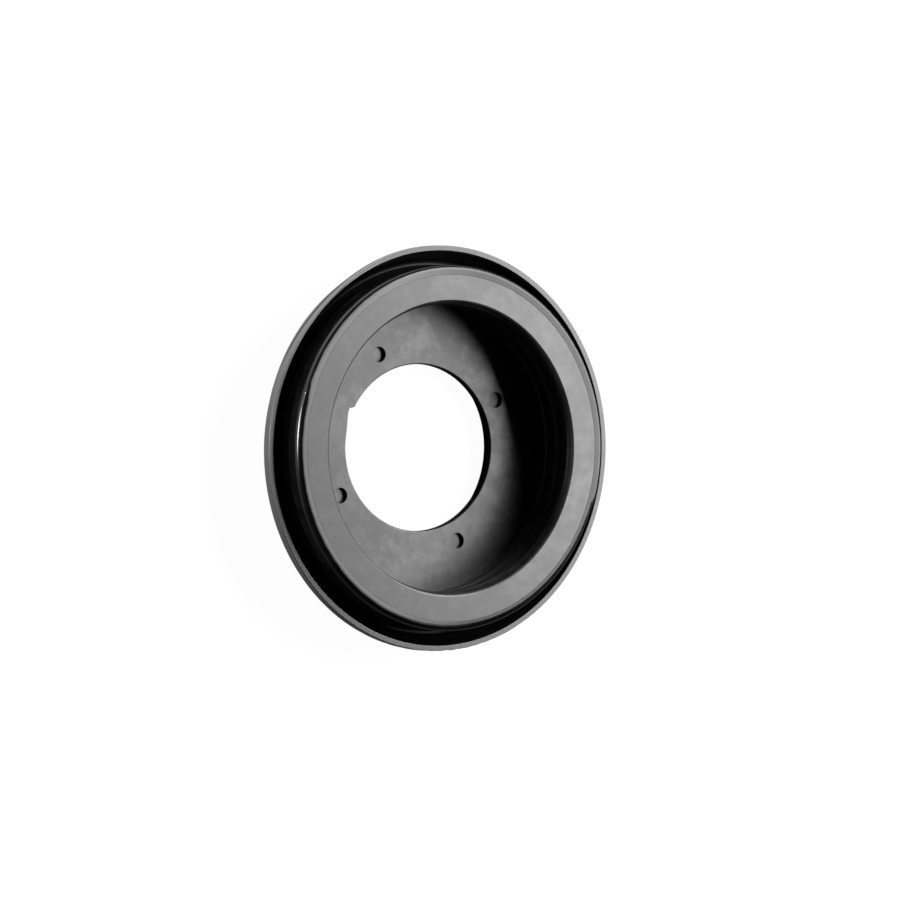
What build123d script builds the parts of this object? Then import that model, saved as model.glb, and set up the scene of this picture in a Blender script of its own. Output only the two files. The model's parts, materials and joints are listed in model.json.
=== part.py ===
from build123d import *

import os

# Toilet flange: a ribbed rubber socket standing in a shallow rubber bowl, for a 110 mm drain pipe.
# The axis is Z and the mouth is up. The flat back lies on Z = 0, centred on the origin.
# X runs along the line where the halves of the mould part, midway between two locating holes.

os.makedirs("parts", exist_ok=True)

# Driving dimensions, in millimetres

overall_height = 23.0
rim_radius = 60.0
rim_lip_width = 1.6
rim_side = 2.7
rim_setback = 7.0
skirt_wall = 1.7
back_radius = 50.4
back_edge_round = 1.5
groove_floor = 9.6
groove_round = 1.0

cup_radius = 52.0
sleeve_wall = 2.6
sleeve_edge_round = 0.6
bead_radius = 54.1
bead_front_depth = 1.5
bead_back_depth = 6.6
bead_front_round = 2.0
bead_back_round = 1.6

seam_radius = 51.2
head_thickness = 2.0
mouth_radius = 43.8
mouth_lead = 1.4
bore_radius_at_mouth = 43.1
bore_radius_at_floor = 42.8
rib_crest_radius = 42.5
rib_crest_width = 0.4
rib_foot_width = 1.8
rib_spacing = 5.4
first_rib_depth = 2.8
rib_count = 3

floor_depth = 17.4
floor_thickness = 2.6
outlet_radius = 25.2
pin_circle_radius = 30.9
pin_hole_radius = 2.2
pin_hole_count = 4
pin_start_angle = 45.0

web_inner_radius = 27.0
insert_inner_radius = 28.2
insert_outer_radius = 44.0
insert_thickness = 1.4

# Heights and radii that follow

floor_top = overall_height - floor_depth
floor_bottom = floor_top - floor_thickness
rim_front = overall_height - rim_setback
rim_back = rim_front - rim_side
rim_inner_radius = rim_radius - rim_lip_width
sleeve_inner_radius = cup_radius - sleeve_wall
head_bottom = overall_height - head_thickness
bead_front = overall_height - bead_front_depth
bead_back = overall_height - bead_back_depth

# The bowl's cone leans out by this much for each millimetre of height. The groove's wall is parallel to it.
cone_lean = (rim_radius - back_radius) / rim_back
cone_length = (1 + cone_lean**2) ** 0.5
groove_wall_top = rim_back + (skirt_wall * cone_length - rim_lip_width) / cone_lean
groove_outer_radius = rim_inner_radius - (groove_wall_top - groove_floor) * cone_lean


# Rim skirt: the bowl, with the rim outside, the groove for the pipe's end and a rebate
# for the cup. A flat web closes its back, which is the seat.

with BuildPart() as rim_skirt:
    with BuildSketch(Plane.XZ) as skirt_profile:
        with BuildLine():
            Polyline(
                (web_inner_radius, 0),
                (back_radius, 0),
                (rim_radius, rim_back),
                (rim_radius, rim_front),
                (rim_inner_radius, rim_front),
                (rim_inner_radius, groove_wall_top),
                (groove_outer_radius, groove_floor),
                (cup_radius, groove_floor),
                (cup_radius, floor_bottom),
                (web_inner_radius, floor_bottom),
                close=True,
            )
        make_face()
        corners = skirt_profile.vertices()
        fillet(corners.sort_by_distance((back_radius, 0, 0))[0], back_edge_round)
        fillet(corners.sort_by_distance((groove_outer_radius, 0, groove_floor))[0], groove_round)
    revolve(axis=Axis.Z)

rim_skirt.part.label = "rim_skirt"
export_step(rim_skirt.part, "parts/rim_skirt.step")


# Cup sleeve: the cup's outer wall, with a bead that presses on the pipe's bore. The bead slopes
# back from the mouth's edge, to lead the pipe on, and is rounded over. The sleeve's foot stands
# in the skirt's rebate, and its top is rebated for the socket ring's head.

with BuildPart() as cup_sleeve:
    with BuildSketch(Plane.XZ) as sleeve_profile:
        with BuildLine():
            Polyline(
                (sleeve_inner_radius, floor_bottom),
                (cup_radius, floor_bottom),
                (cup_radius, bead_back),
                (bead_radius, bead_back),
                (bead_radius, bead_front),
                (cup_radius, overall_height),
                (seam_radius, overall_height),
                (seam_radius, head_bottom),
                (sleeve_inner_radius, head_bottom),
                close=True,
            )
        make_face()
        corners = sleeve_profile.vertices()
        fillet(corners.sort_by_distance((bead_radius, 0, bead_back))[0], bead_back_round)
        fillet(corners.sort_by_distance((bead_radius, 0, bead_front))[0], bead_front_round)
        fillet(corners.sort_by_distance((cup_radius, 0, overall_height))[0], sleeve_edge_round)
    revolve(axis=Axis.Z)

cup_sleeve.part.label = "cup_sleeve"
export_step(cup_sleeve.part, "parts/cup_sleeve.step")


# Socket ring: the thick ring that grips the outlet of the pan. Its head is the wide
# flat face round the mouth, its bore tapers a little, and three ribs stand in the bore.

bore_taper = (bore_radius_at_mouth - bore_radius_at_floor) / (floor_depth - mouth_lead)


def bore_radius(height):
    return bore_radius_at_floor + (height - floor_top) * bore_taper


with BuildPart() as socket_ring:
    with BuildSketch(Plane.XZ):
        with BuildLine():
            Polyline(
                (bore_radius_at_floor, floor_top),
                (sleeve_inner_radius, floor_top),
                (sleeve_inner_radius, head_bottom),
                (seam_radius, head_bottom),
                (seam_radius, overall_height),
                (mouth_radius, overall_height),
                (bore_radius_at_mouth, overall_height - mouth_lead),
                close=True,
            )
        make_face()
        for rib in range(rib_count):
            rib_middle = overall_height - first_rib_depth - rib * rib_spacing
            foot_top = rib_middle + rib_foot_width / 2
            foot_bottom = rib_middle - rib_foot_width / 2
            with BuildLine():
                Polyline(
                    (bore_radius(foot_bottom), foot_bottom),
                    (rib_crest_radius, rib_middle - rib_crest_width / 2),
                    (rib_crest_radius, rib_middle + rib_crest_width / 2),
                    (bore_radius(foot_top), foot_top),
                    close=True,
                )
            make_face()
    revolve(axis=Axis.Z)

socket_ring.part.label = "socket_ring"
export_step(socket_ring.part, "parts/socket_ring.step")


# Floor disc: the cup's rubber floor, held under the socket ring. The round outlet is cut
# through its middle. The steel ring lies in a pocket in its underside, and the four
# locating holes stop on the steel.

with BuildPart() as floor_disc:
    with BuildSketch(Plane.XY.offset(floor_bottom)):
        Circle(sleeve_inner_radius)
        Circle(outlet_radius, mode=Mode.SUBTRACT)
    extrude(amount=floor_thickness)
    with BuildSketch(Plane.XY.offset(floor_bottom)):
        Circle(insert_outer_radius)
        Circle(insert_inner_radius, mode=Mode.SUBTRACT)
    extrude(amount=insert_thickness, mode=Mode.SUBTRACT)
    with BuildSketch(Plane.XY.offset(floor_bottom)):
        with PolarLocations(pin_circle_radius, pin_hole_count, start_angle=pin_start_angle):
            Circle(pin_hole_radius)
    extrude(amount=floor_thickness, mode=Mode.SUBTRACT)

floor_disc.part.label = "floor_disc"
export_step(floor_disc.part, "parts/floor_disc.step")


# Stiffener ring: a flat steel ring in the floor's pocket, covered by rubber all round
# except where the four locating holes come down to it.

with BuildPart() as stiffener_ring:
    with BuildSketch(Plane.XY.offset(floor_bottom)):
        Circle(insert_outer_radius)
        Circle(insert_inner_radius, mode=Mode.SUBTRACT)
    extrude(amount=insert_thickness)

stiffener_ring.part.label = "stiffener_ring"
export_step(stiffener_ring.part, "parts/stiffener_ring.step")
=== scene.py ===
import json
import math

import bpy
from mathutils import Matrix, Vector, noise


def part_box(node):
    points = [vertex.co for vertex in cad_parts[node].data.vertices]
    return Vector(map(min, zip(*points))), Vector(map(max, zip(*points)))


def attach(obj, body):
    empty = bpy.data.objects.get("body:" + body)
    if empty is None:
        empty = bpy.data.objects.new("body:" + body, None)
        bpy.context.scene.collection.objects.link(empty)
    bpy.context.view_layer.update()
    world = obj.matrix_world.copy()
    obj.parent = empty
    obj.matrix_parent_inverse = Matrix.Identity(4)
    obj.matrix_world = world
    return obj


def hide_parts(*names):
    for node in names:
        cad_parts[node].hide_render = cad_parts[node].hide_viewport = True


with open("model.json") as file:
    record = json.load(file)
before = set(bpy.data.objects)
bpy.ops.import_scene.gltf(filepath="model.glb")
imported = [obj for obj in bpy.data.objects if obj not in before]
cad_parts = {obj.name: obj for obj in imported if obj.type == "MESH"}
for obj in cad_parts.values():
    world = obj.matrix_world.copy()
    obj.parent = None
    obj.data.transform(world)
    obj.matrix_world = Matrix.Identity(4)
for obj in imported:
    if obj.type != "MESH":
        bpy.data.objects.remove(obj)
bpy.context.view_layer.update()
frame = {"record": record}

mounts = {mount["name"]: mount for mount in frame["record"]["mounts"]}


# ---------------------------------------------------------------------------------------------
# Rim skirt. A shallow bowl of black rubber, moulded in a two-part tool, with an upstanding rim.
# It is the body of the flange: everything else is bonded into it, and the pipe's end enters the
# groove inside its rim. The mould's halves meet along X and leave a fine ridge there.

MM = 0.001

skirt_low, skirt_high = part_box("rim_skirt")
rim_radius = min(skirt_high.x, skirt_high.y, -skirt_low.x, -skirt_low.y) / MM
rim_front = skirt_high.z / MM
floor_low, floor_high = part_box("floor_disc")

flash_height = 0.05
flash_width = 0.16
rim_wander = 0.03
rim_side = 2.7
rim_lip = 1.6
back_radius = 50.4
cup_radius = 52.0
groove_floor = 9.6
groove_outer = 55.2
groove_wall_top = 14.0
web_inner = 27.0

dent_angle = math.radians(149)
dent_spread = math.radians(27)
dent_depth = 1.6
trim_angle = math.radians(-62)
trim_spread = math.radians(26)


def around_axis():
    """The angles of a turned piece's columns: even steps, and close ones where the mould parts."""
    steps = 320
    angles = [2 * math.pi * step / steps for step in range(steps)]
    for parting in (0.0, math.pi):
        for offset in (-0.30, -0.16, -0.08, 0.08, 0.16, 0.30):
            angles.append((parting + math.radians(offset)) % (2 * math.pi))
    return sorted(angles)


def bell(offset, spread):
    """1 at an angle's middle, falling smoothly to 0 well past its spread."""
    turned = (offset + math.pi) % (2 * math.pi) - math.pi
    return math.exp(-((turned / spread) ** 2))


def rounded_outline(corners, longest=1.6, edge=0.12):
    """A closed outline of (radius, height, rounding) corners, with arcs and evenly divided sides."""
    arcs = []
    for place, (radius, height, rounding) in enumerate(corners):
        here = Vector((radius, height))
        before = Vector(corners[place - 1][:2]) - here
        after = Vector(corners[(place + 1) % len(corners)][:2]) - here
        if rounding == 0:
            arcs.append([here])
            continue
        to_before = before.normalized()
        to_after = after.normalized()
        half = to_before.angle(to_after) / 2
        reach = rounding / math.tan(half)
        centre = here + (to_before + to_after).normalized() * (rounding / math.sin(half))
        start = (here + to_before * reach) - centre
        finish = (here + to_after * reach) - centre
        turn = start.angle_signed(finish)
        pieces = max(3, round(abs(turn) / math.radians(15)))
        arc = []
        for piece in range(pieces + 1):
            angle = -turn * piece / pieces
            arc.append(centre + Matrix.Rotation(angle, 2) @ start)
        arcs.append(arc)
    outline = []
    for place, arc in enumerate(arcs):
        outline.extend(arc)
        start = arc[-1]
        side = arcs[(place + 1) % len(arcs)][0] - start
        if side.length < 3 * edge:
            continue
        inner = side.length - 2 * edge
        cuts = max(1, math.ceil(inner / longest))
        for cut in range(cuts + 1):
            outline.append(start + side.normalized() * (edge + inner * cut / cuts))
    return [(point.x, point.y) for point in outline]


def turned_piece(name, outline, reshape=None):
    """A closed ring, turned from an outline in millimetres. reshape moves a point at an angle."""
    angles = around_axis()
    points = []
    faces = []
    for angle in angles:
        for radius, height in outline:
            if reshape:
                radius, height = reshape(radius, height, angle)
            points.append((radius * math.cos(angle) * MM, radius * math.sin(angle) * MM, height * MM))
    count = len(outline)
    for column in range(len(angles)):
        beside = (column + 1) % len(angles)
        for place in range(count):
            after = (place + 1) % count
            faces.append(
                (
                    column * count + place,
                    beside * count + place,
                    beside * count + after,
                    column * count + after,
                )
            )
    mesh = bpy.data.meshes.new(name)
    mesh.from_pydata(points, [], faces)
    mesh.validate()
    mesh.shade_smooth()
    piece = bpy.data.objects.new(name, mesh)
    bpy.context.scene.collection.objects.link(piece)
    return piece


skirt_limit = rim_radius - flash_height - rim_wander
rim_back = rim_front - rim_side
cone_lean = (skirt_limit - back_radius) / rim_back
skirt_outline = rounded_outline(
    [
        (web_inner, 0.0, 0.3),
        (back_radius, 0.0, 1.5),
        (skirt_limit, rim_back, 0.2),
        (skirt_limit, rim_front, 0.12),
        (skirt_limit - rim_lip, rim_front, 0.12),
        (skirt_limit - rim_lip, groove_wall_top, 0.4),
        (groove_outer, groove_floor, 1.3),
        (cup_radius + 2.0, groove_floor, 0.8),
        (cup_radius, groove_floor + 1.6, 0.0),
        (cup_radius, floor_low.z / MM, 0.0),
        (web_inner, floor_low.z / MM, 0.0),
    ]
)


def skirt_shape(radius, height, angle):
    """The rim's small wander and dent, the trimmed edge, and the mould's ridge outside."""
    wall_middle = back_radius + height * cone_lean - rim_lip / 2
    outside = radius > min(wall_middle, skirt_limit - rim_lip / 2)
    rim_share = min(1.0, max(0.0, (height - groove_floor) / 4)) if radius > cup_radius + 0.5 else 0.0
    wander = math.sin(2 * angle + 0.6) * 0.6 + math.sin(5 * angle + 2.1) * 0.4
    dent = bell(angle - dent_angle, dent_spread) * dent_depth
    moved = rim_share * (rim_wander * wander - dent * (1.0 if outside else 0.25))
    if outside and height > rim_back - 0.5:
        ripple = noise.noise(Vector((math.cos(angle), math.sin(angle), 0.3)) * 55)
        moved -= abs(ripple) * 0.30 * bell(angle - trim_angle, trim_spread)
    if outside and height > 0.3:
        for parting in (0.0, math.pi):
            moved += flash_height * bell(angle - parting, math.radians(flash_width))
    return radius + moved, height


bowl_moulding = turned_piece("bowl_moulding", skirt_outline, skirt_shape)
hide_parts("rim_skirt")
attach(bowl_moulding, "root")


def add_node(tree, kind, place, **settings):
    """A shader node at a place in the tree, with its settings."""
    node = tree.nodes.new(kind)
    node.location = place
    for name, value in settings.items():
        setattr(node, name, value)
    return node


def make_bloom_group():
    """Cloudy bloom, which rubber sweats out as it ages: a mask from 0, clean, to 1, hazy."""
    group = bpy.data.node_groups.new("rubber_bloom", "ShaderNodeTree")
    sides = group.interface
    sides.new_socket("Vector", in_out="INPUT", socket_type="NodeSocketVector")
    sides.new_socket("Cloud Scale", in_out="INPUT", socket_type="NodeSocketFloat")
    sides.new_socket("Mottle Scale", in_out="INPUT", socket_type="NodeSocketFloat")
    sides.new_socket("Haze", in_out="OUTPUT", socket_type="NodeSocketFloat")
    entry = add_node(group, "NodeGroupInput", (-700, 0))
    cloud = add_node(group, "ShaderNodeTexNoise", (-480, 160))
    cloud.inputs["Detail"].default_value = 3.0
    cloud.inputs["Roughness"].default_value = 0.55
    cloud.inputs["Distortion"].default_value = 0.6
    mottle = add_node(group, "ShaderNodeTexNoise", (-480, -160))
    mottle.inputs["Detail"].default_value = 4.0
    mottle.inputs["Roughness"].default_value = 0.6
    blend = add_node(group, "ShaderNodeMix", (-260, 0), data_type="FLOAT")
    blend.inputs["Factor"].default_value = 0.45
    spread = add_node(group, "ShaderNodeMapRange", (-60, 0), interpolation_type="SMOOTHSTEP")
    spread.inputs["From Min"].default_value = 0.40
    spread.inputs["From Max"].default_value = 0.68
    leave = add_node(group, "NodeGroupOutput", (160, 0))
    links = group.links
    links.new(entry.outputs["Vector"], cloud.inputs["Vector"])
    links.new(entry.outputs["Vector"], mottle.inputs["Vector"])
    links.new(entry.outputs["Cloud Scale"], cloud.inputs["Scale"])
    links.new(entry.outputs["Mottle Scale"], mottle.inputs["Scale"])
    links.new(cloud.outputs["Fac"], blend.inputs["A"])
    links.new(mottle.outputs["Fac"], blend.inputs["B"])
    links.new(blend.outputs["Result"], spread.inputs["Value"])
    links.new(spread.outputs["Result"], leave.inputs["Haze"])
    return group


def make_grain_group():
    """The tool's own surface, printed on the rubber: fine grain with soft waves, as a height."""
    group = bpy.data.node_groups.new("mould_grain", "ShaderNodeTree")
    sides = group.interface
    sides.new_socket("Vector", in_out="INPUT", socket_type="NodeSocketVector")
    sides.new_socket("Grain Scale", in_out="INPUT", socket_type="NodeSocketFloat")
    sides.new_socket("Wave Scale", in_out="INPUT", socket_type="NodeSocketFloat")
    sides.new_socket("Wave Share", in_out="INPUT", socket_type="NodeSocketFloat")
    sides.new_socket("Height", in_out="OUTPUT", socket_type="NodeSocketFloat")
    entry = add_node(group, "NodeGroupInput", (-700, 0))
    grain = add_node(group, "ShaderNodeTexNoise", (-480, 160))
    grain.inputs["Detail"].default_value = 2.0
    wave = add_node(group, "ShaderNodeTexNoise", (-480, -160))
    wave.inputs["Detail"].default_value = 1.0
    blend = add_node(group, "ShaderNodeMix", (-220, 0), data_type="FLOAT")
    leave = add_node(group, "NodeGroupOutput", (0, 0))
    links = group.links
    links.new(entry.outputs["Vector"], grain.inputs["Vector"])
    links.new(entry.outputs["Vector"], wave.inputs["Vector"])
    links.new(entry.outputs["Grain Scale"], grain.inputs["Scale"])
    links.new(entry.outputs["Wave Scale"], wave.inputs["Scale"])
    links.new(entry.outputs["Wave Share"], blend.inputs["Factor"])
    links.new(grain.outputs["Fac"], blend.inputs["A"])
    links.new(wave.outputs["Fac"], blend.inputs["B"])
    links.new(blend.outputs["Result"], leave.inputs["Height"])
    return group


bloom_group = make_bloom_group()
grain_group = make_grain_group()


def black_finish(name, clean, hazy, sheen_clean, sheen_hazy, cloud, wave_share, depth):
    """A satin black surface. clean and hazy are its colours, and the sheens its roughness there."""
    material = bpy.data.materials.new(name)
    material.use_nodes = True
    tree = material.node_tree
    shader = tree.nodes["Principled BSDF"]
    shader.inputs["IOR"].default_value = 1.52
    shader.inputs["Specular IOR Level"].default_value = 0.5
    where = add_node(tree, "ShaderNodeTexCoord", (-900, 0))
    bloom = add_node(tree, "ShaderNodeGroup", (-640, 160), node_tree=bloom_group)
    bloom.inputs["Cloud Scale"].default_value = cloud
    bloom.inputs["Mottle Scale"].default_value = cloud * 4.5
    grain = add_node(tree, "ShaderNodeGroup", (-640, -160), node_tree=grain_group)
    grain.inputs["Grain Scale"].default_value = 2600
    grain.inputs["Wave Scale"].default_value = 150
    grain.inputs["Wave Share"].default_value = wave_share
    colour = add_node(tree, "ShaderNodeMix", (-340, 240), data_type="RGBA")
    colour.inputs["A"].default_value = (*clean, 1)
    colour.inputs["B"].default_value = (*hazy, 1)
    sheen = add_node(tree, "ShaderNodeMapRange", (-340, 0))
    sheen.inputs["To Min"].default_value = sheen_clean
    sheen.inputs["To Max"].default_value = sheen_hazy
    bump = add_node(tree, "ShaderNodeBump", (-340, -260))
    bump.inputs["Strength"].default_value = 1.0
    bump.inputs["Distance"].default_value = depth
    links = tree.links
    links.new(where.outputs["Object"], bloom.inputs["Vector"])
    links.new(where.outputs["Object"], grain.inputs["Vector"])
    links.new(bloom.outputs["Haze"], colour.inputs["Factor"])
    links.new(bloom.outputs["Haze"], sheen.inputs["Value"])
    links.new(grain.outputs["Height"], bump.inputs["Height"])
    links.new(colour.outputs["Result"], shader.inputs["Base Color"])
    links.new(sheen.outputs["Result"], shader.inputs["Roughness"])
    links.new(bump.outputs["Normal"], shader.inputs["Normal"])
    return material


bowl_rubber = black_finish(
    "bowl_rubber",
    clean=(0.0012, 0.0012, 0.0013),
    hazy=(0.004, 0.004, 0.0042),
    sheen_clean=0.31,
    sheen_hazy=0.35,
    cloud=90,
    wave_share=0.35,
    depth=0.00002,
)
bowl_moulding.data.materials.append(bowl_rubber)

# The lip near the rim's dent is painted lighter grey on its top, not in the groove: a painted highlight.
lip_light_angle = math.radians(176)
lip_light_reach = 0.062
bowl_tree = bowl_rubber.node_tree
bowl_link = bowl_tree.links.new
bowl_shader = bowl_tree.nodes["Principled BSDF"]
bowl_colour = bowl_shader.inputs["Base Color"].links[0].from_socket
bowl_place = add_node(bowl_tree, "ShaderNodeTexCoord", (-1100, 600))
lip_light_distance = add_node(bowl_tree, "ShaderNodeVectorMath", (-880, 720), operation="DISTANCE")
lip_light_distance.inputs[1].default_value = (
    rim_radius * math.cos(lip_light_angle) * MM,
    rim_radius * math.sin(lip_light_angle) * MM,
    rim_front * MM,
)
lip_light_near = add_node(bowl_tree, "ShaderNodeMapRange", (-660, 720), interpolation_type="SMOOTHSTEP")
lip_light_near.inputs["From Min"].default_value = 0.012
lip_light_near.inputs["From Max"].default_value = lip_light_reach
lip_light_near.inputs["To Min"].default_value = 1.0
lip_light_near.inputs["To Max"].default_value = 0.0
bowl_height = add_node(bowl_tree, "ShaderNodeSeparateXYZ", (-880, 480))
lip_light_top = add_node(bowl_tree, "ShaderNodeMapRange", (-660, 480))
lip_light_top.inputs["From Min"].default_value = (rim_front - 0.12) * MM
lip_light_top.inputs["From Max"].default_value = (rim_front - 0.02) * MM
lip_light_mask = add_node(bowl_tree, "ShaderNodeMath", (-440, 600), operation="MULTIPLY")
# Painted highlight: the lip's colour is mixed towards a lighter grey here.
painted_lip_light = add_node(bowl_tree, "ShaderNodeMix", (-120, 420), data_type="RGBA")
painted_lip_light.inputs["B"].default_value = (0.125, 0.125, 0.128, 1)
bowl_link(bowl_place.outputs["Object"], lip_light_distance.inputs[0])
bowl_link(lip_light_distance.outputs["Value"], lip_light_near.inputs["Value"])
bowl_link(bowl_place.outputs["Object"], bowl_height.inputs["Vector"])
bowl_link(bowl_height.outputs["Z"], lip_light_top.inputs["Value"])
bowl_link(lip_light_near.outputs["Result"], lip_light_mask.inputs[0])
bowl_link(lip_light_top.outputs["Result"], lip_light_mask.inputs[1])
bowl_link(lip_light_mask.outputs["Value"], painted_lip_light.inputs["Factor"])
bowl_link(bowl_colour, painted_lip_light.inputs["A"])
bowl_link(painted_lip_light.outputs["Result"], bowl_shader.inputs["Base Color"])

# Inside the groove the specular level is turned down from 0.5 to 0.08: painted shade that darkens the
# recess.
groove_flat = add_node(bowl_tree, "ShaderNodeVectorMath", (-880, 1160), operation="MULTIPLY")
groove_flat.inputs[1].default_value = (1, 1, 0)
groove_radius = add_node(bowl_tree, "ShaderNodeVectorMath", (-700, 1160), operation="LENGTH")
groove_height = add_node(bowl_tree, "ShaderNodeMath", (-700, 980), operation="MINIMUM")
groove_height.inputs[1].default_value = rim_back * MM
groove_lean = add_node(bowl_tree, "ShaderNodeMath", (-520, 1160), operation="MULTIPLY_ADD")
groove_lean.inputs[1].default_value = -cone_lean
groove_side = add_node(bowl_tree, "ShaderNodeMapRange", (-340, 1160))
groove_side.inputs["From Min"].default_value = (back_radius - 0.95) * MM
groove_side.inputs["From Max"].default_value = (back_radius - 0.65) * MM
groove_top = add_node(bowl_tree, "ShaderNodeMapRange", (-340, 920))
groove_top.inputs["From Min"].default_value = (groove_wall_top - 0.5) * MM
groove_top.inputs["From Max"].default_value = (groove_wall_top - 0.1) * MM
groove_shade_mask = add_node(bowl_tree, "ShaderNodeMath", (-160, 1040), operation="MAXIMUM")
# Painted shade: the groove's reflection is turned down here.
groove_shade_level = add_node(bowl_tree, "ShaderNodeMapRange", (20, 1040))
groove_shade_level.inputs["To Min"].default_value = 0.08
groove_shade_level.inputs["To Max"].default_value = 0.5
bowl_link(bowl_place.outputs["Object"], groove_flat.inputs[0])
bowl_link(groove_flat.outputs["Vector"], groove_radius.inputs[0])
bowl_link(bowl_height.outputs["Z"], groove_height.inputs[0])
bowl_link(groove_height.outputs["Value"], groove_lean.inputs[0])
bowl_link(groove_radius.outputs["Value"], groove_lean.inputs[2])
bowl_link(groove_lean.outputs["Value"], groove_side.inputs["Value"])
bowl_link(bowl_height.outputs["Z"], groove_top.inputs["Value"])
bowl_link(groove_side.outputs["Result"], groove_shade_mask.inputs[0])
bowl_link(groove_top.outputs["Result"], groove_shade_mask.inputs[1])
bowl_link(groove_shade_mask.outputs["Value"], groove_shade_level.inputs["Value"])
bowl_link(groove_shade_level.outputs["Result"], bowl_shader.inputs["Specular IOR Level"])


# ---------------------------------------------------------------------------------------------
# Stiffener ring. A flat ring stamped from sheet steel and coated with black bonding primer. It
# lies in the floor's underside and keeps it flat. Pins held it in the mould, so it shows only
# at the bottom of the four locating holes.

steel_low, steel_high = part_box("stiffener_ring")
steel_inner = 28.2
steel_edge = 0.12

steel_stiffener = turned_piece(
    "steel_stiffener",
    rounded_outline(
        [
            (steel_inner, steel_low.z / MM, steel_edge),
            (steel_high.x / MM, steel_low.z / MM, steel_edge),
            (steel_high.x / MM, steel_high.z / MM, steel_edge),
            (steel_inner, steel_high.z / MM, steel_edge),
        ],
        edge=0.1,
    ),
)
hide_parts("stiffener_ring")
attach(steel_stiffener, "root")

primer = black_finish(
    "bonding_primer",
    clean=(0.010, 0.010, 0.0103),
    hazy=(0.028, 0.028, 0.0286),
    sheen_clean=0.38,
    sheen_hazy=0.46,
    cloud=260,
    wave_share=0.4,
    depth=0.00005,
)
steel_stiffener.data.materials.append(primer)


# ---------------------------------------------------------------------------------------------
# Floor disc. The rubber floor of the cup, moulded over the steel ring. Its outlet is trimmed out
# by hand, so it is a little oval and has a nick where the knife came round. The mould's pins
# leave four locating holes.

outlet_radius = mounts["outlet"]["dims"]["r_mm"]
pin_circle = mounts["locating_holes"]["dims"]["pcd_mm"] / 2
pin_radius = mounts["locating_holes"]["dims"]["hole_r_mm"]
pin_count = mounts["locating_holes"]["dims"]["count"]

outlet_oval = 0.55
outlet_oval_angle = math.radians(17)
nick_angle = math.radians(172)
nick_depth = 1.4
nick_start = math.radians(1.1)
nick_run = math.radians(9)


def floor_shape(radius, height, angle):
    """The hand-trimmed outlet: its oval, and the nick, which is steep one way and runs out the other."""
    near_outlet = max(0.0, 1 - (radius - outlet_radius) / 3.5)
    radius += near_outlet * outlet_oval * math.cos(2 * (angle - outlet_oval_angle))
    away = (angle - nick_angle + math.pi) % (2 * math.pi) - math.pi
    cut = math.exp(-((away / nick_start) ** 2)) if away < 0 else math.exp(-((away / nick_run) ** 2))
    radius += near_outlet * nick_depth * cut
    return radius, height


floor_moulding = turned_piece(
    "floor_moulding",
    rounded_outline(
        [
            (outlet_radius, floor_low.z / MM, 0.15),
            (steel_inner, floor_low.z / MM, 0.0),
            (steel_inner, steel_high.z / MM, 0.0),
            (steel_high.x / MM, steel_high.z / MM, 0.0),
            (steel_high.x / MM, floor_low.z / MM, 0.0),
            (floor_high.x / MM, floor_low.z / MM, 0.0),
            (floor_high.x / MM, floor_high.z / MM, 0.0),
            (outlet_radius, floor_high.z / MM, 0.35),
        ],
        longest=1.2,
    ),
    floor_shape,
)

pin_flare = 0.22


def pin_cutter(name, angle):
    """A mould pin with a flared shoulder, standing where a locating hole is left."""
    top = floor_high.z / MM
    sides = 40
    profile = [
        (pin_radius, floor_low.z / MM - 0.5),
        (pin_radius, top - pin_flare),
        (pin_radius + pin_flare * 0.30, top - pin_flare * 0.30),
        (pin_radius + pin_flare * 1.2, top + 0.1),
        (pin_radius + pin_flare * 1.2, top + 1.0),
    ]
    points = []
    faces = []
    for side in range(sides):
        turn = 2 * math.pi * side / sides
        for radius, height in profile:
            x = pin_circle * math.cos(angle) + radius * math.cos(turn)
            y = pin_circle * math.sin(angle) + radius * math.sin(turn)
            points.append((x * MM, y * MM, height * MM))
    rows = len(profile)
    for side in range(sides):
        beside = (side + 1) % sides
        for row in range(rows - 1):
            here = side * rows + row
            next_to = beside * rows + row
            faces.append((here, next_to, next_to + 1, here + 1))
    faces.append([side * rows for side in reversed(range(sides))])
    faces.append([side * rows + rows - 1 for side in range(sides)])
    mesh = bpy.data.meshes.new(name)
    mesh.from_pydata(points, [], faces)
    cutter = bpy.data.objects.new(name, mesh)
    bpy.context.scene.collection.objects.link(cutter)
    return cutter


for pin in range(pin_count):
    pin_angle = math.pi / 4 + 2 * math.pi * pin / pin_count
    cutter = pin_cutter(f"pin_{pin}", pin_angle)
    drill = floor_moulding.modifiers.new("pin", "BOOLEAN")
    drill.operation = "DIFFERENCE"
    drill.solver = "EXACT"
    drill.object = cutter
    bpy.context.view_layer.update()
    cut_mesh = bpy.data.meshes.new_from_object(
        floor_moulding.evaluated_get(bpy.context.evaluated_depsgraph_get())
    )
    floor_moulding.modifiers.clear()
    floor_moulding.data = cut_mesh
    bpy.data.objects.remove(cutter)

floor_moulding.data.set_sharp_from_angle(angle=math.radians(18))
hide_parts("floor_disc")
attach(floor_moulding, "root")
floor_moulding.data.materials.append(
    black_finish(
        "floor_rubber",
        clean=(0.009, 0.009, 0.0093),
        hazy=(0.030, 0.030, 0.0306),
        sheen_clean=0.44,
        sheen_hazy=0.36,
        cloud=85,
        wave_share=0.45,
        depth=0.00003,
    )
)


# ---------------------------------------------------------------------------------------------
# Cup sleeve. The outer wall of the cup, moulded in rubber with a round bead that presses on the
# bore of the pipe. Its foot is bonded into the skirt. The mould's parting shows as a small step
# on the bead, and two fine witness lines run round it low in the groove.

seam_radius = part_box("socket_ring")[1].x / MM
bead_radius = mounts["pipe_bead"]["dims"]["r_mm"]
mouth_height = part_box("cup_sleeve")[1].z / MM
sleeve_inner = floor_high.x / MM
head_bottom = mouth_height - 2.0
bead_front = mouth_height - 1.5
bead_back = mouth_height - 6.6
seam_break = 0.06
witness_height = 0.14
low_witness = 11.9
high_witness = 14.15
ledge_width = 0.75
ledge_fade = math.radians(4)

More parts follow.
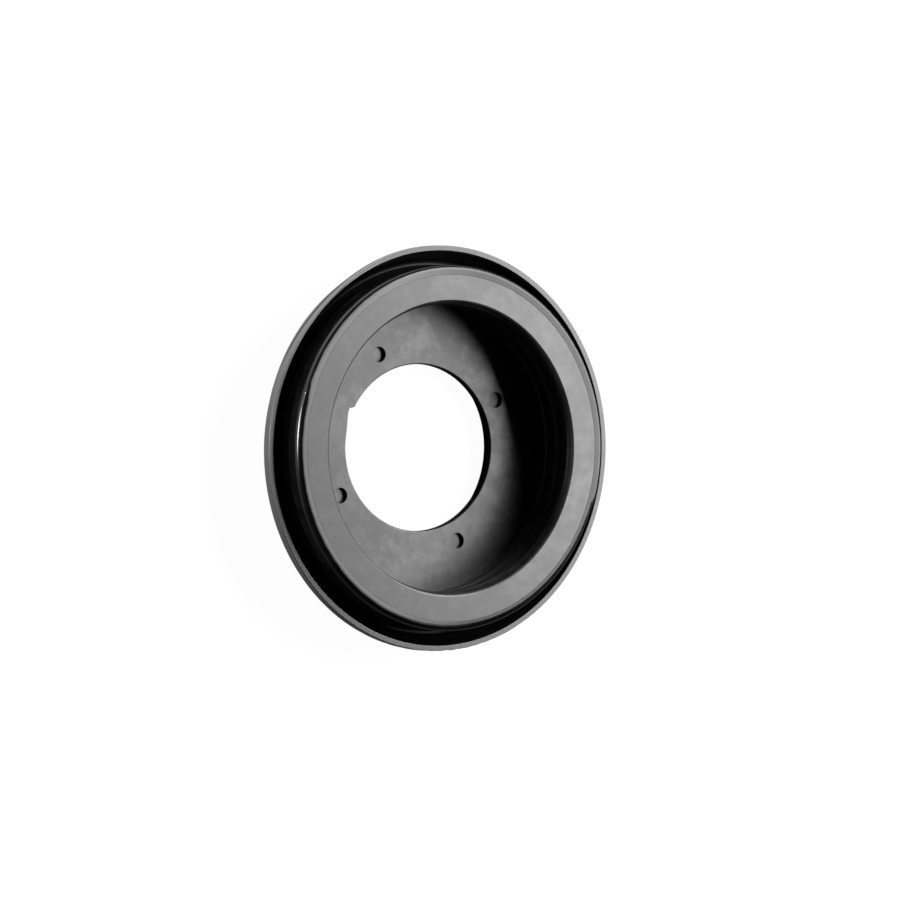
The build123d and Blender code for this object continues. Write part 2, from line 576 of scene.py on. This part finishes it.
sleeve_limit = bead_radius - flash_height
sleeve_outline = rounded_outline(
    [
        (sleeve_inner, floor_low.z / MM, 0.0),
        (cup_radius, floor_low.z / MM, 0.0),
        (cup_radius, low_witness - 0.2, 0.0),
        (cup_radius + witness_height, low_witness, 0.0),
        (cup_radius, low_witness + 0.2, 0.0),
        (cup_radius, high_witness - 0.15, 0.0),
        (cup_radius + witness_height * 0.7, high_witness, 0.0),
        (cup_radius, high_witness + 0.15, 0.0),
        (cup_radius, bead_back, 0.4),
        (sleeve_limit, bead_back, 1.6),
        (sleeve_limit, mouth_height - 1.9, 2.5),
        (cup_radius + 1.75, mouth_height - 0.85, 1.6),
        (cup_radius + 0.95, mouth_height - 0.22, 2.0),
        (cup_radius + 0.05, mouth_height, 0.3),
        (seam_radius, mouth_height, seam_break),
        (seam_radius, head_bottom, 0.0),
        (sleeve_inner, head_bottom, 0.0),
    ],
    longest=1.2,
    edge=0.08,
)


def sleeve_shape(radius, height, angle):
    """The mould's ridge, and the ledge by which its upper half stands proud at the mouth's edge."""
    if radius > cup_radius - 0.7 and height > groove_floor:
        for parting in (0.0, math.pi):
            radius += flash_height * bell(angle - parting, math.radians(flash_width))
    if radius > seam_radius + 0.3 and height > bead_front - 0.6:
        half = min(1.0, max(0.0, min(angle, math.pi - angle) / ledge_fade + 0.5))
        share = min(1.0, (sleeve_limit - radius) / 1.4)
        radius += ledge_width * half * max(0.0, share)
    return radius, height


cup_wall_moulding = turned_piece("cup_wall_moulding", sleeve_outline, sleeve_shape)
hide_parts("cup_sleeve")
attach(cup_wall_moulding, "root")

cup_wall_rubber = black_finish(
    "cup_wall_rubber",
    clean=(0.0012, 0.0012, 0.0013),
    hazy=(0.003, 0.003, 0.0031),
    sheen_clean=0.22,
    sheen_hazy=0.27,
    cloud=80,
    wave_share=0.35,
    depth=0.000012,
)
cup_wall_moulding.data.materials.append(cup_wall_rubber)

# The edge at the mouth is painted lighter grey on one side only, a painted highlight with a ragged noise
# edge, and not down the wall.
wall_tree = cup_wall_rubber.node_tree
wall_link = wall_tree.links.new
wall_shader = wall_tree.nodes["Principled BSDF"]
wall_shader.inputs["Specular IOR Level"].default_value = 0.25
wall_colour = wall_shader.inputs["Base Color"].links[0].from_socket
wall_place = add_node(wall_tree, "ShaderNodeTexCoord", (-900, 520))
wall_height = add_node(wall_tree, "ShaderNodeSeparateXYZ", (-700, 520))
highlight_edge_noise = add_node(wall_tree, "ShaderNodeTexNoise", (-700, 760))
highlight_edge_noise.inputs["Scale"].default_value = 320
highlight_edge_noise.inputs["Detail"].default_value = 4.0
highlight_flat = add_node(wall_tree, "ShaderNodeVectorMath", (-700, 560), operation="MULTIPLY")
highlight_flat.inputs[1].default_value = (1, 1, 0)
highlight_radius = add_node(wall_tree, "ShaderNodeVectorMath", (-500, 560), operation="LENGTH")
highlight_lift = add_node(wall_tree, "ShaderNodeMath", (-500, 760), operation="MULTIPLY_ADD")
highlight_lift.inputs[1].default_value = 0.0004
highlight_ledge = add_node(wall_tree, "ShaderNodeMapRange", (-500, 380))
highlight_ledge.inputs["From Min"].default_value = -0.003
highlight_ledge.inputs["From Max"].default_value = 0.003
highlight_ledge.inputs["To Max"].default_value = -ledge_width * MM
highlight_reach = add_node(wall_tree, "ShaderNodeMath", (-400, 560), operation="ADD")
highlight_band = add_node(wall_tree, "ShaderNodeMapRange", (-300, 640), interpolation_type="SMOOTHSTEP")
highlight_band.inputs["From Min"].default_value = (cup_radius + 0.45) * MM
highlight_band.inputs["From Max"].default_value = (cup_radius + 0.95) * MM
highlight_band.inputs["To Min"].default_value = 1.0
highlight_band.inputs["To Max"].default_value = 0.0
highlight_side = add_node(wall_tree, "ShaderNodeVectorMath", (-700, 960), operation="DOT_PRODUCT")
highlight_side.inputs[1].default_value = (-0.96, -0.28, 0)
highlight_share = add_node(wall_tree, "ShaderNodeMapRange", (-500, 960))
highlight_share.inputs["From Min"].default_value = -0.010
highlight_share.inputs["From Max"].default_value = 0.022
highlight_part = add_node(wall_tree, "ShaderNodeMath", (-120, 760), operation="MULTIPLY")
# Painted highlight: the wall's colour is mixed towards grey on one side of the mouth's edge.
painted_highlight = add_node(wall_tree, "ShaderNodeMix", (-120, 420), data_type="RGBA")
painted_highlight.inputs["B"].default_value = (0.13, 0.13, 0.133, 1)
wall_link(wall_place.outputs["Object"], wall_height.inputs["Vector"])
wall_link(wall_place.outputs["Object"], highlight_edge_noise.inputs["Vector"])
wall_link(highlight_edge_noise.outputs["Fac"], highlight_lift.inputs[0])
wall_link(wall_place.outputs["Object"], highlight_flat.inputs[0])
wall_link(highlight_flat.outputs["Vector"], highlight_radius.inputs[0])
wall_link(highlight_radius.outputs["Value"], highlight_lift.inputs[2])
wall_link(wall_height.outputs["Y"], highlight_ledge.inputs["Value"])
wall_link(highlight_lift.outputs["Value"], highlight_reach.inputs[0])
wall_link(highlight_ledge.outputs["Result"], highlight_reach.inputs[1])
wall_link(highlight_reach.outputs["Value"], highlight_band.inputs["Value"])
wall_link(wall_place.outputs["Object"], highlight_side.inputs[0])
wall_link(highlight_side.outputs["Value"], highlight_share.inputs["Value"])
wall_link(highlight_band.outputs["Result"], highlight_part.inputs[0])
wall_link(highlight_share.outputs["Result"], highlight_part.inputs[1])
wall_link(highlight_part.outputs["Value"], painted_highlight.inputs["Factor"])
wall_link(wall_colour, painted_highlight.inputs["A"])
wall_link(painted_highlight.outputs["Result"], wall_shader.inputs["Base Color"])


# ---------------------------------------------------------------------------------------------
# Socket ring. The thick rubber ring that grips the outlet of the pan, moulded on its own and
# bonded inside the sleeve. Its head is the wide flat face round the mouth. Three soft ribs stand
# in its bore, and the bore tapers a little towards the floor.

mouth_radius = 43.8
mouth_lead = 1.4
mouth_break = 0.45
bore_at_mouth = 43.1
bore_at_floor = 42.8
rib_crest = mounts["socket"]["dims"]["r_mm"]
rib_half_foot = 0.9
rib_half_crest = 0.2
rib_middles = [mouth_height - 2.8 - 5.4 * rib for rib in range(3)]


def bore_radius(height):
    """The tapered bore's radius at a height."""
    share = (height - floor_high.z / MM) / (mouth_height - mouth_lead - floor_high.z / MM)
    return bore_at_floor + (bore_at_mouth - bore_at_floor) * share


socket_corners = [
    (bore_at_floor, floor_high.z / MM, 0.0),
    (sleeve_inner, floor_high.z / MM, 0.0),
    (sleeve_inner, head_bottom, 0.0),
    (seam_radius, head_bottom, 0.0),
    (seam_radius, mouth_height, seam_break),
    (mouth_radius, mouth_height, 0.06),
    (mouth_radius - mouth_break, mouth_height - mouth_break / 2, 0.1),
    (bore_at_mouth, mouth_height - mouth_lead, 0.6),
]
for middle in rib_middles:
    socket_corners += [
        (bore_radius(middle + rib_half_foot), middle + rib_half_foot, 0.8),
        (rib_crest, middle + rib_half_crest, 0.25),
        (rib_crest, middle - rib_half_crest, 0.25),
        (bore_radius(middle - rib_half_foot), middle - rib_half_foot, 0.8),
    ]

socket_moulding = turned_piece("socket_moulding", rounded_outline(socket_corners, edge=0.08))
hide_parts("socket_ring")
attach(socket_moulding, "root")
socket_moulding.data.materials.append(
    black_finish(
        "socket_rubber",
        clean=(0.010, 0.010, 0.0103),
        hazy=(0.030, 0.030, 0.0306),
        sheen_clean=0.35,
        sheen_hazy=0.30,
        cloud=75,
        wave_share=0.35,
        depth=0.000022,
    )
)


# ---------------------------------------------------------------------------------------------
# Studio. A large softbox beyond the mouth's right-hand side, a small bright one low on the left,
# and a long lens 34 degrees off the flange's axis. The table is dark and its glow is painted light:
# evenly white to the camera, and to everything it lights a painted pool of light beside the rim,
# with painted shadow under the flange.

view_turn = math.radians(16.8)
view_tilt = math.radians(34)
view_roll = math.radians(1.2)
view_distance = 9.0
view_width = 0.2655
aim_right = 0.0043
aim_down = 0.0006

across = Vector((math.cos(view_turn), math.sin(view_turn), 0))
upward = Vector((-math.sin(view_turn), math.cos(view_turn), 0))
axis = Vector((0, 0, 1))
towards = axis * math.cos(view_tilt) - across * math.sin(view_tilt)
level_right = across * math.cos(view_tilt) + axis * math.sin(view_tilt)
right = level_right * math.cos(view_roll) + upward * math.sin(view_roll)
up = upward * math.cos(view_roll) - level_right * math.sin(view_roll)
rim_centre = axis * (rim_front - rim_side / 2) * MM

camera_data = bpy.data.cameras.new("studio_camera")
camera_data.sensor_width = 36
camera_data.lens = camera_data.sensor_width * view_distance / view_width
camera_data.clip_start = 0.1
camera_data.clip_end = 60
camera = bpy.data.objects.new("studio_camera", camera_data)
bpy.context.scene.collection.objects.link(camera)
camera.matrix_world = Matrix.Translation(
    rim_centre + right * aim_right - up * aim_down + towards * view_distance
) @ Matrix((right, up, towards)).transposed().to_4x4()
bpy.context.scene.camera = camera


def softbox(name, direction, distance, width, height, radiance):
    """A rectangular softbox that faces the flange, as bright as radiance, where white paper is 1."""
    lamp = bpy.data.lights.new(name, "AREA")
    lamp.shape = "RECTANGLE"
    lamp.size = width
    lamp.size_y = height
    lamp.energy = radiance * math.pi * width * height
    box = bpy.data.objects.new(name, lamp)
    box.location = direction.normalized() * distance
    box.rotation_mode = "QUATERNION"
    box.rotation_quaternion = direction.to_track_quat("Z", "Y")
    bpy.context.scene.collection.objects.link(box)
    return box


def sky_direction(tilt, turn):
    """The direction that leans by tilt off the flange's axis, turned from the level right."""
    level = across * math.cos(math.radians(turn)) + upward * math.sin(math.radians(turn))
    return axis * math.cos(math.radians(tilt)) + level * math.sin(math.radians(tilt))


softbox("key_softbox", sky_direction(48, 22.5), 0.64, 0.65, 0.385, 14.0)
softbox("left_softbox", sky_direction(87.7, 173), 0.45, 0.12, 0.034, 300.0)

table_mesh = bpy.data.meshes.new("studio_table")
table_mesh.from_pydata([(-3, -3, 0), (3, -3, 0), (3, 3, 0), (-3, 3, 0)], [], [(0, 1, 2, 3)])
table = bpy.data.objects.new("studio_table", table_mesh)
bpy.context.scene.collection.objects.link(table)
table_paint = bpy.data.materials.new("pale_table")
table_paint.use_nodes = True
table_tree = table_paint.node_tree
table_link = table_tree.links.new
table_shader = table_tree.nodes["Principled BSDF"]
table_shader.inputs["Base Color"].default_value = (0.05, 0.05, 0.05, 1)
table_shader.inputs["Roughness"].default_value = 0.9
table_shader.inputs["Specular IOR Level"].default_value = 0.0
table_shader.inputs["Emission Color"].default_value = (1, 1, 1, 1)
table_light = add_node(table_tree, "ShaderNodeLightPath", (-700, 0))
table_glow = add_node(table_tree, "ShaderNodeMapRange", (-460, 0))
table_glow.inputs["To Max"].default_value = 0.97
# Painted pool of light: the glow that other rays see is brightest beside the rim and falls off away from
# it.
table_place = add_node(table_tree, "ShaderNodeTexCoord", (-1140, -200))
table_pool = add_node(table_tree, "ShaderNodeVectorMath", (-920, -200), operation="DISTANCE")
table_pool.inputs[1].default_value = across * -0.048 + upward * 0.040
table_falloff = add_node(table_tree, "ShaderNodeMapRange", (-700, -200))
table_falloff.inputs["From Min"].default_value = 0.01
table_falloff.inputs["From Max"].default_value = 0.10
table_falloff.inputs["To Min"].default_value = 2.6
table_falloff.inputs["To Max"].default_value = 0.15
table_link(table_place.outputs["Object"], table_pool.inputs[0])
table_link(table_pool.outputs["Value"], table_falloff.inputs["Value"])
# Painted shadow: the glow is cut away under the flange.
table_reach = add_node(table_tree, "ShaderNodeVectorMath", (-920, -460), operation="LENGTH")
table_flange_shadow = add_node(table_tree, "ShaderNodeMapRange", (-700, -460))
table_flange_shadow.inputs["From Min"].default_value = 0.054
table_flange_shadow.inputs["From Max"].default_value = 0.064
table_pool_strength = add_node(table_tree, "ShaderNodeMath", (-560, -320), operation="MULTIPLY")
table_link(table_place.outputs["Object"], table_reach.inputs[0])
table_link(table_reach.outputs["Value"], table_flange_shadow.inputs["Value"])
table_link(table_falloff.outputs["Result"], table_pool_strength.inputs[0])
table_link(table_flange_shadow.outputs["Result"], table_pool_strength.inputs[1])
table_link(table_pool_strength.outputs["Value"], table_glow.inputs["To Min"])
table_link(table_light.outputs["Is Camera Ray"], table_glow.inputs["Value"])
table_link(table_glow.outputs["Result"], table_shader.inputs["Emission Strength"])
table_mesh.materials.append(table_paint)

world = bpy.data.worlds.new("studio_air")
world.use_nodes = True
air = world.node_tree
seen = add_node(air, "ShaderNodeLightPath", (-500, 0))
glow = add_node(air, "ShaderNodeMapRange", (-260, 0))
glow.inputs["To Min"].default_value = 0.02
glow.inputs["To Max"].default_value = 0.9
air.links.new(seen.outputs["Is Camera Ray"], glow.inputs["Value"])
air.nodes["Background"].inputs["Color"].default_value = (1, 1, 1, 1)
air.links.new(glow.outputs["Result"], air.nodes["Background"].inputs["Strength"])
bpy.context.scene.world = world
bpy.context.scene.view_settings.view_transform = "Standard"
